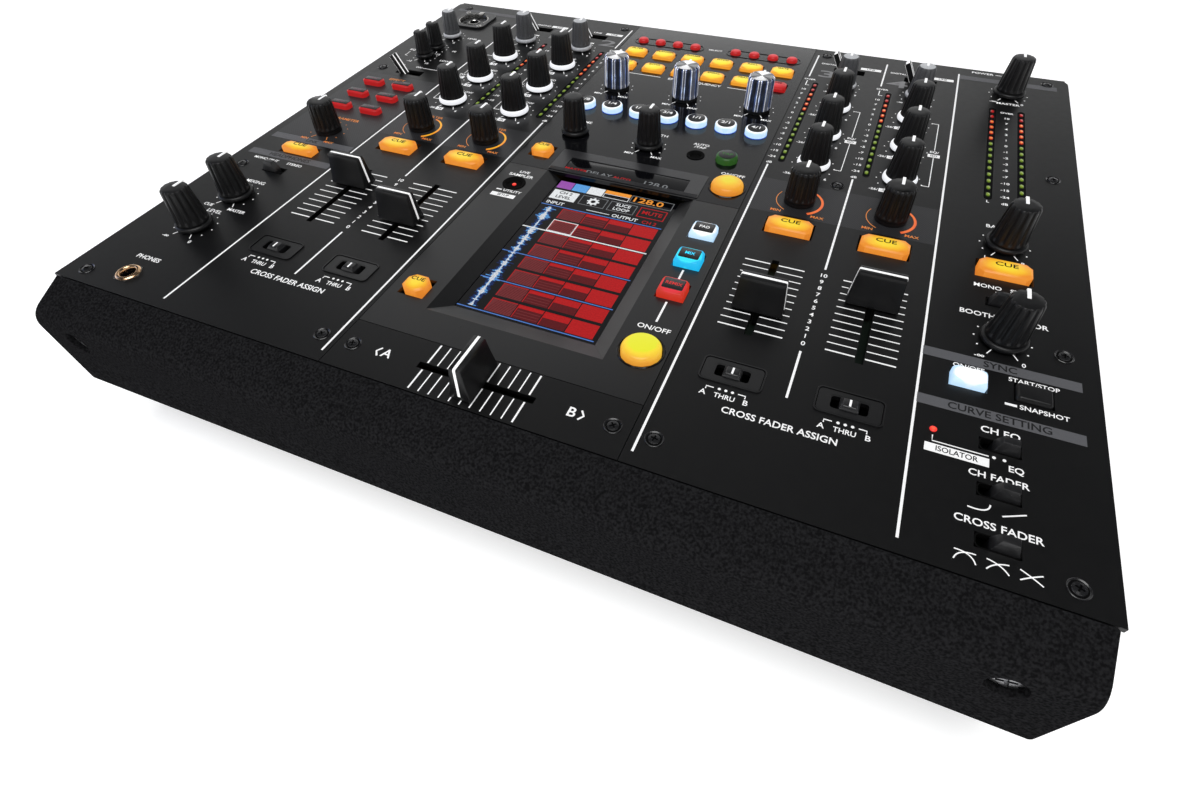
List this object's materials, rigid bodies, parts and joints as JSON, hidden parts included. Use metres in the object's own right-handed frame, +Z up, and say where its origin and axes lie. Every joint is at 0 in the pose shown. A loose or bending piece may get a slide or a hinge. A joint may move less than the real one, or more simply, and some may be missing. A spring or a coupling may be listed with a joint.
{
  "type": "dj mixer",
  "caption": "Tabletop four-channel DJ mixer with tone knobs, channel faders, a crossfader, lit buttons and a recessed touch screen.",
  "frame": {"origin": "centre of the overall footprint, on the surface that the feet stand on", "axes": "+Z up, +X to the user's right, +Y away from the user towards the connectors"},
  "size_m": [0.43, 0.409, 0.1076],
  "materials": {
    "black_paint": "satin black paint",
    "textured_paint": "fine textured black paint",
    "gloss_black": "semi-gloss black",
    "black_plastic": "matte moulded black",
    "grey_plastic": "satin moulded grey",
    "chrome": "polished with turned top",
    "circuit_board": "solder mask",
    "amber_lens": "lit translucent amber",
    "yellow_lens": "lit translucent yellow",
    "red_lens": "lit translucent red",
    "white_lens": "lit translucent white",
    "cyan_lens": "lit translucent cyan",
    "green_lens": "unlit translucent green",
    "display": "glass-fronted display",
    "white_print": "screen-printed white",
    "grey_print": "screen-printed grey",
    "orange_print": "screen-printed orange",
    "plated_metal": "nickel plate",
    "rubber_foot": "moulded rubber"
  },
  "bodies": {
    "chassis": {"bottom_tray": "textured_paint", "rear_panel": "black_paint", "front_bumper": "textured_paint", "left_panel": "black_paint", "right_panel": "black_paint", "effects_panel": "gloss_black", "touch_panel": "gloss_black", "crossfader_panel": "black_paint", "touch_screen": "display", "control_board": "circuit_board"},
    "mic_level_knob": {"mic_level_knob": "grey_plastic"},
    "mic_high_knob": {"mic_high_knob": "black_plastic"},
    "mic_low_knob": {"mic_low_knob": "black_plastic"},
    "instant_effect_knob": {"instant_effect_knob": "black_plastic"},
    "phones_mixing_knob": {"phones_mixing_knob": "black_plastic"},
    "phones_level_knob": {"phones_level_knob": "black_plastic"},
    "master_level_knob": {"master_level_knob": "black_plastic"},
    "balance_knob": {"balance_knob": "black_plastic"},
    "booth_level_knob": {"booth_level_knob": "black_plastic"},
    "frequency_knob_1": {"frequency_knob_1": "chrome"},
    "frequency_knob_2": {"frequency_knob_2": "chrome"},
    "frequency_knob_3": {"frequency_knob_3": "chrome"},
    "beat_time_knob": {"beat_time_knob": "black_plastic"},
    "effect_depth_knob": {"effect_depth_knob": "black_plastic"},
    "channel_1_trim_knob": {"channel_1_trim_knob": "grey_plastic"},
    "channel_1_high_knob": {"channel_1_high_knob": "black_plastic"},
    "channel_1_mid_knob": {"channel_1_mid_knob": "black_plastic"},
    "channel_1_low_knob": {"channel_1_low_knob": "black_plastic"},
    "channel_1_effect_knob": {"channel_1_effect_knob": "black_plastic"},
    "channel_2_trim_knob": {"channel_2_trim_knob": "grey_plastic"},
    "channel_2_high_knob": {"channel_2_high_knob": "black_plastic"},
    "channel_2_mid_knob": {"channel_2_mid_knob": "black_plastic"},
    "channel_2_low_knob": {"channel_2_low_knob": "black_plastic"},
    "channel_2_effect_knob": {"channel_2_effect_knob": "black_plastic"},
    "channel_3_trim_knob": {"channel_3_trim_knob": "grey_plastic"},
    "channel_3_high_knob": {"channel_3_high_knob": "black_plastic"},
    "channel_3_mid_knob": {"channel_3_mid_knob": "black_plastic"},
    "channel_3_low_knob": {"channel_3_low_knob": "black_plastic"},
    "channel_3_effect_knob": {"channel_3_effect_knob": "black_plastic"},
    "channel_4_trim_knob": {"channel_4_trim_knob": "grey_plastic"},
    "channel_4_high_knob": {"channel_4_high_knob": "black_plastic"},
    "channel_4_mid_knob": {"channel_4_mid_knob": "black_plastic"},
    "channel_4_low_knob": {"channel_4_low_knob": "black_plastic"},
    "channel_4_effect_knob": {"channel_4_effect_knob": "black_plastic"},
    "channel_1_fader": {"channel_1_fader": "black_plastic"},
    "channel_1_assign_switch": {"channel_1_assign_switch": "black_plastic"},
    "channel_2_fader": {"channel_2_fader": "black_plastic"},
    "channel_2_assign_switch": {"channel_2_assign_switch": "black_plastic"},
    "channel_3_fader": {"channel_3_fader": "black_plastic"},
    "channel_3_assign_switch": {"channel_3_assign_switch": "black_plastic"},
    "channel_4_fader": {"channel_4_fader": "black_plastic"},
    "channel_4_assign_switch": {"channel_4_assign_switch": "black_plastic"},
    "crossfader": {"crossfader": "black_plastic"},
    "channel_1_input_lever": {"channel_1_input_lever": "black_plastic"},
    "channel_2_input_lever": {"channel_2_input_lever": "black_plastic"},
    "channel_3_input_lever": {"channel_3_input_lever": "black_plastic"},
    "channel_4_input_lever": {"channel_4_input_lever": "black_plastic"},
    "mic_lever": {"mic_lever": "black_plastic"},
    "effect_on_button": {"effect_on_button": "amber_lens"},
    "touch_on_button": {"touch_on_button": "yellow_lens"}
  },
  "joints": [
    {"name": "mic_level_turn", "type": "hinge", "parent": "chassis", "child": "mic_level_knob", "pos_m": [-0.1854, 0.1153, 0.0866], "axis": [0, 0, 1], "range_deg": [-150, 150]},
    {"name": "mic_high_turn", "type": "hinge", "parent": "chassis", "child": "mic_high_knob", "pos_m": [-0.1852, 0.0935, 0.0866], "axis": [0, 0, 1], "range_deg": [-150, 150]},
    {"name": "mic_low_turn", "type": "hinge", "parent": "chassis", "child": "mic_low_knob", "pos_m": [-0.185, 0.0782, 0.0866], "axis": [0, 0, 1], "range_deg": [-150, 150]},
    {"name": "instant_effect_turn", "type": "hinge", "parent": "chassis", "child": "instant_effect_knob", "pos_m": [-0.1808, -0.0305, 0.0866], "axis": [0, 0, 1], "range_deg": [-150, 150]},
    {"name": "phones_mixing_turn", "type": "hinge", "parent": "chassis", "child": "phones_mixing_knob", "pos_m": [-0.1816, -0.1038, 0.0866], "axis": [0, 0, 1], "range_deg": [-150, 150]},
    {"name": "phones_level_turn", "type": "hinge", "parent": "chassis", "child": "phones_level_knob", "pos_m": [-0.1816, -0.1321, 0.0866], "axis": [0, 0, 1], "range_deg": [-150, 150]},
    {"name": "master_level_turn", "type": "hinge", "parent": "chassis", "child": "master_level_knob", "pos_m": [0.1818, 0.147, 0.0866], "axis": [0, 0, 1], "range_deg": [-150, 150]},
    {"name": "balance_turn", "type": "hinge", "parent": "chassis", "child": "balance_knob", "pos_m": [0.1818, -0.0115, 0.0866], "axis": [0, 0, 1], "range_deg": [-150, 150]},
    {"name": "booth_level_turn", "type": "hinge", "parent": "chassis", "child": "booth_level_knob", "pos_m": [0.1818, -0.0765, 0.0866], "axis": [0, 0, 1], "range_deg": [-150, 150]},
    {"name": "frequency_turn_1", "type": "hinge", "parent": "chassis", "child": "frequency_knob_1", "pos_m": [-0.0424, 0.0785, 0.0866], "axis": [0, 0, 1], "range_deg": [-150, 150]},
    {"name": "frequency_turn_2", "type": "hinge", "parent": "chassis", "child": "frequency_knob_2", "pos_m": [0.0021, 0.0785, 0.0866], "axis": [0, 0, 1], "range_deg": [-150, 150]},
    {"name": "frequency_turn_3", "type": "hinge", "parent": "chassis", "child": "frequency_knob_3", "pos_m": [0.0466, 0.0785, 0.0866], "axis": [0, 0, 1], "range_deg": [-150, 150]},
    {"name": "beat_time_turn", "type": "hinge", "parent": "chassis", "child": "beat_time_knob", "pos_m": [-0.0432, 0.0169, 0.0866], "axis": [0, 0, 1], "continuous": true},
    {"name": "effect_depth_turn", "type": "hinge", "parent": "chassis", "child": "effect_depth_knob", "pos_m": [0.0013, 0.0169, 0.0866], "axis": [0, 0, 1], "range_deg": [-150, 150]},
    {"name": "channel_1_trim_turn", "type": "hinge", "parent": "chassis", "child": "channel_1_trim_knob", "pos_m": [-0.131, 0.1255, 0.0866], "axis": [0, 0, 1], "range_deg": [-150, 150]},
    {"name": "channel_1_high_turn", "type": "hinge", "parent": "chassis", "child": "channel_1_high_knob", "pos_m": [-0.131, 0.095, 0.0866], "axis": [0, 0, 1], "range_deg": [-150, 150]},
    {"name": "channel_1_mid_turn", "type": "hinge", "parent": "chassis", "child": "channel_1_mid_knob", "pos_m": [-0.131, 0.061, 0.0866], "axis": [0, 0, 1], "range_deg": [-150, 150]},
    {"name": "channel_1_low_turn", "type": "hinge", "parent": "chassis", "child": "channel_1_low_knob", "pos_m": [-0.131, 0.0273, 0.0866], "axis": [0, 0, 1], "range_deg": [-150, 150]},
    {"name": "channel_1_effect_turn", "type": "hinge", "parent": "chassis", "child": "channel_1_effect_knob", "pos_m": [-0.131, -0.008, 0.0866], "axis": [0, 0, 1], "range_deg": [-150, 150]},
    {"name": "channel_2_trim_turn", "type": "hinge", "parent": "chassis", "child": "channel_2_trim_knob", "pos_m": [-0.088, 0.1255, 0.0866], "axis": [0, 0, 1], "range_deg": [-150, 150]},
    {"name": "channel_2_high_turn", "type": "hinge", "parent": "chassis", "child": "channel_2_high_knob", "pos_m": [-0.088, 0.095, 0.0866], "axis": [0, 0, 1], "range_deg": [-150, 150]},
    {"name": "channel_2_mid_turn", "type": "hinge", "parent": "chassis", "child": "channel_2_mid_knob", "pos_m": [-0.088, 0.061, 0.0866], "axis": [0, 0, 1], "range_deg": [-150, 150]},
    {"name": "channel_2_low_turn", "type": "hinge", "parent": "chassis", "child": "channel_2_low_knob", "pos_m": [-0.088, 0.0273, 0.0866], "axis": [0, 0, 1], "range_deg": [-150, 150]},
    {"name": "channel_2_effect_turn", "type": "hinge", "parent": "chassis", "child": "channel_2_effect_knob", "pos_m": [-0.088, -0.008, 0.0866], "axis": [0, 0, 1], "range_deg": [-150, 150]},
    {"name": "channel_3_trim_turn", "type": "hinge", "parent": "chassis", "child": "channel_3_trim_knob", "pos_m": [0.0892, 0.1255, 0.0866], "axis": [0, 0, 1], "range_deg": [-150, 150]},
    {"name": "channel_3_high_turn", "type": "hinge", "parent": "chassis", "child": "channel_3_high_knob", "pos_m": [0.0892, 0.095, 0.0866], "axis": [0, 0, 1], "range_deg": [-150, 150]},
    {"name": "channel_3_mid_turn", "type": "hinge", "parent": "chassis", "child": "channel_3_mid_knob", "pos_m": [0.0892, 0.061, 0.0866], "axis": [0, 0, 1], "range_deg": [-150, 150]},
    {"name": "channel_3_low_turn", "type": "hinge", "parent": "chassis", "child": "channel_3_low_knob", "pos_m": [0.0892, 0.0273, 0.0866], "axis": [0, 0, 1], "range_deg": [-150, 150]},
    {"name": "channel_3_effect_turn", "type": "hinge", "parent": "chassis", "child": "channel_3_effect_knob", "pos_m": [0.0892, -0.008, 0.0866], "axis": [0, 0, 1], "range_deg": [-150, 150]},
    {"name": "channel_4_trim_turn", "type": "hinge", "parent": "chassis", "child": "channel_4_trim_knob", "pos_m": [0.1322, 0.1255, 0.0866], "axis": [0, 0, 1], "range_deg": [-150, 150]},
    {"name": "channel_4_high_turn", "type": "hinge", "parent": "chassis", "child": "channel_4_high_knob", "pos_m": [0.1322, 0.095, 0.0866], "axis": [0, 0, 1], "range_deg": [-150, 150]},
    {"name": "channel_4_mid_turn", "type": "hinge", "parent": "chassis", "child": "channel_4_mid_knob", "pos_m": [0.1322, 0.061, 0.0866], "axis": [0, 0, 1], "range_deg": [-150, 150]},
    {"name": "channel_4_low_turn", "type": "hinge", "parent": "chassis", "child": "channel_4_low_knob", "pos_m": [0.1322, 0.0273, 0.0866], "axis": [0, 0, 1], "range_deg": [-150, 150]},
    {"name": "channel_4_effect_turn", "type": "hinge", "parent": "chassis", "child": "channel_4_effect_knob", "pos_m": [0.1322, -0.008, 0.0866], "axis": [0, 0, 1], "range_deg": [-150, 150]},
    {"name": "channel_1_fader_slide", "type": "slide", "parent": "chassis", "child": "channel_1_fader", "axis": [0, 1, 0], "range_m": [-0.034, 0.0105]},
    {"name": "channel_1_assign_slide", "type": "slide", "parent": "chassis", "child": "channel_1_assign_switch", "axis": [1, 0, 0], "range_m": [-0.0043, 0.0043]},
    {"name": "channel_2_fader_slide", "type": "slide", "parent": "chassis", "child": "channel_2_fader", "axis": [0, 1, 0], "range_m": [-0.0149, 0.0296]},
    {"name": "channel_2_assign_slide", "type": "slide", "parent": "chassis", "child": "channel_2_assign_switch", "axis": [1, 0, 0], "range_m": [-0.0043, 0.0043]},
    {"name": "channel_3_fader_slide", "type": "slide", "parent": "chassis", "child": "channel_3_fader", "axis": [0, 1, 0], "range_m": [-0.0141, 0.0304]},
    {"name": "channel_3_assign_slide", "type": "slide", "parent": "chassis", "child": "channel_3_assign_switch", "axis": [1, 0, 0], "range_m": [-0.0043, 0.0043]},
    {"name": "channel_4_fader_slide", "type": "slide", "parent": "chassis", "child": "channel_4_fader", "axis": [0, 1, 0], "range_m": [-0.0336, 0.0109]},
    {"name": "channel_4_assign_slide", "type": "slide", "parent": "chassis", "child": "channel_4_assign_switch", "axis": [1, 0, 0], "range_m": [-0.0043, 0.0043]},
    {"name": "crossfader_slide", "type": "slide", "parent": "chassis", "child": "crossfader", "axis": [1, 0, 0], "range_m": [-0.02225, 0.02225]},
    {"name": "channel_1_input_flip", "type": "hinge", "parent": "chassis", "child": "channel_1_input_lever", "pos_m": [-0.131, 0.1485, 0.0786], "axis": [0, 1, 0], "range_deg": [0, 60]},
    {"name": "channel_2_input_flip", "type": "hinge", "parent": "chassis", "child": "channel_2_input_lever", "pos_m": [-0.088, 0.1485, 0.0786], "axis": [0, 1, 0], "range_deg": [0, 60]},
    {"name": "channel_3_input_flip", "type": "hinge", "parent": "chassis", "child": "channel_3_input_lever", "pos_m": [0.0892, 0.1485, 0.0786], "axis": [0, 1, 0], "range_deg": [0, 60]},
    {"name": "channel_4_input_flip", "type": "hinge", "parent": "chassis", "child": "channel_4_input_lever", "pos_m": [0.1322, 0.1485, 0.0786], "axis": [0, 1, 0], "range_deg": [0, 60]},
    {"name": "mic_flip", "type": "hinge", "parent": "chassis", "child": "mic_lever", "pos_m": [-0.181, 0.0535, 0.0786], "axis": [0, 1, 0], "range_deg": [0, 60]},
    {"name": "effect_on_press", "type": "slide", "parent": "chassis", "child": "effect_on_button", "axis": [0, 0, -1], "range_m": [0, 0.001], "stiffness_N_per_m": 600},
    {"name": "touch_on_press", "type": "slide", "parent": "chassis", "child": "touch_on_button", "axis": [0, 0, -1], "range_m": [0, 0.001], "stiffness_N_per_m": 600}
  ]
}
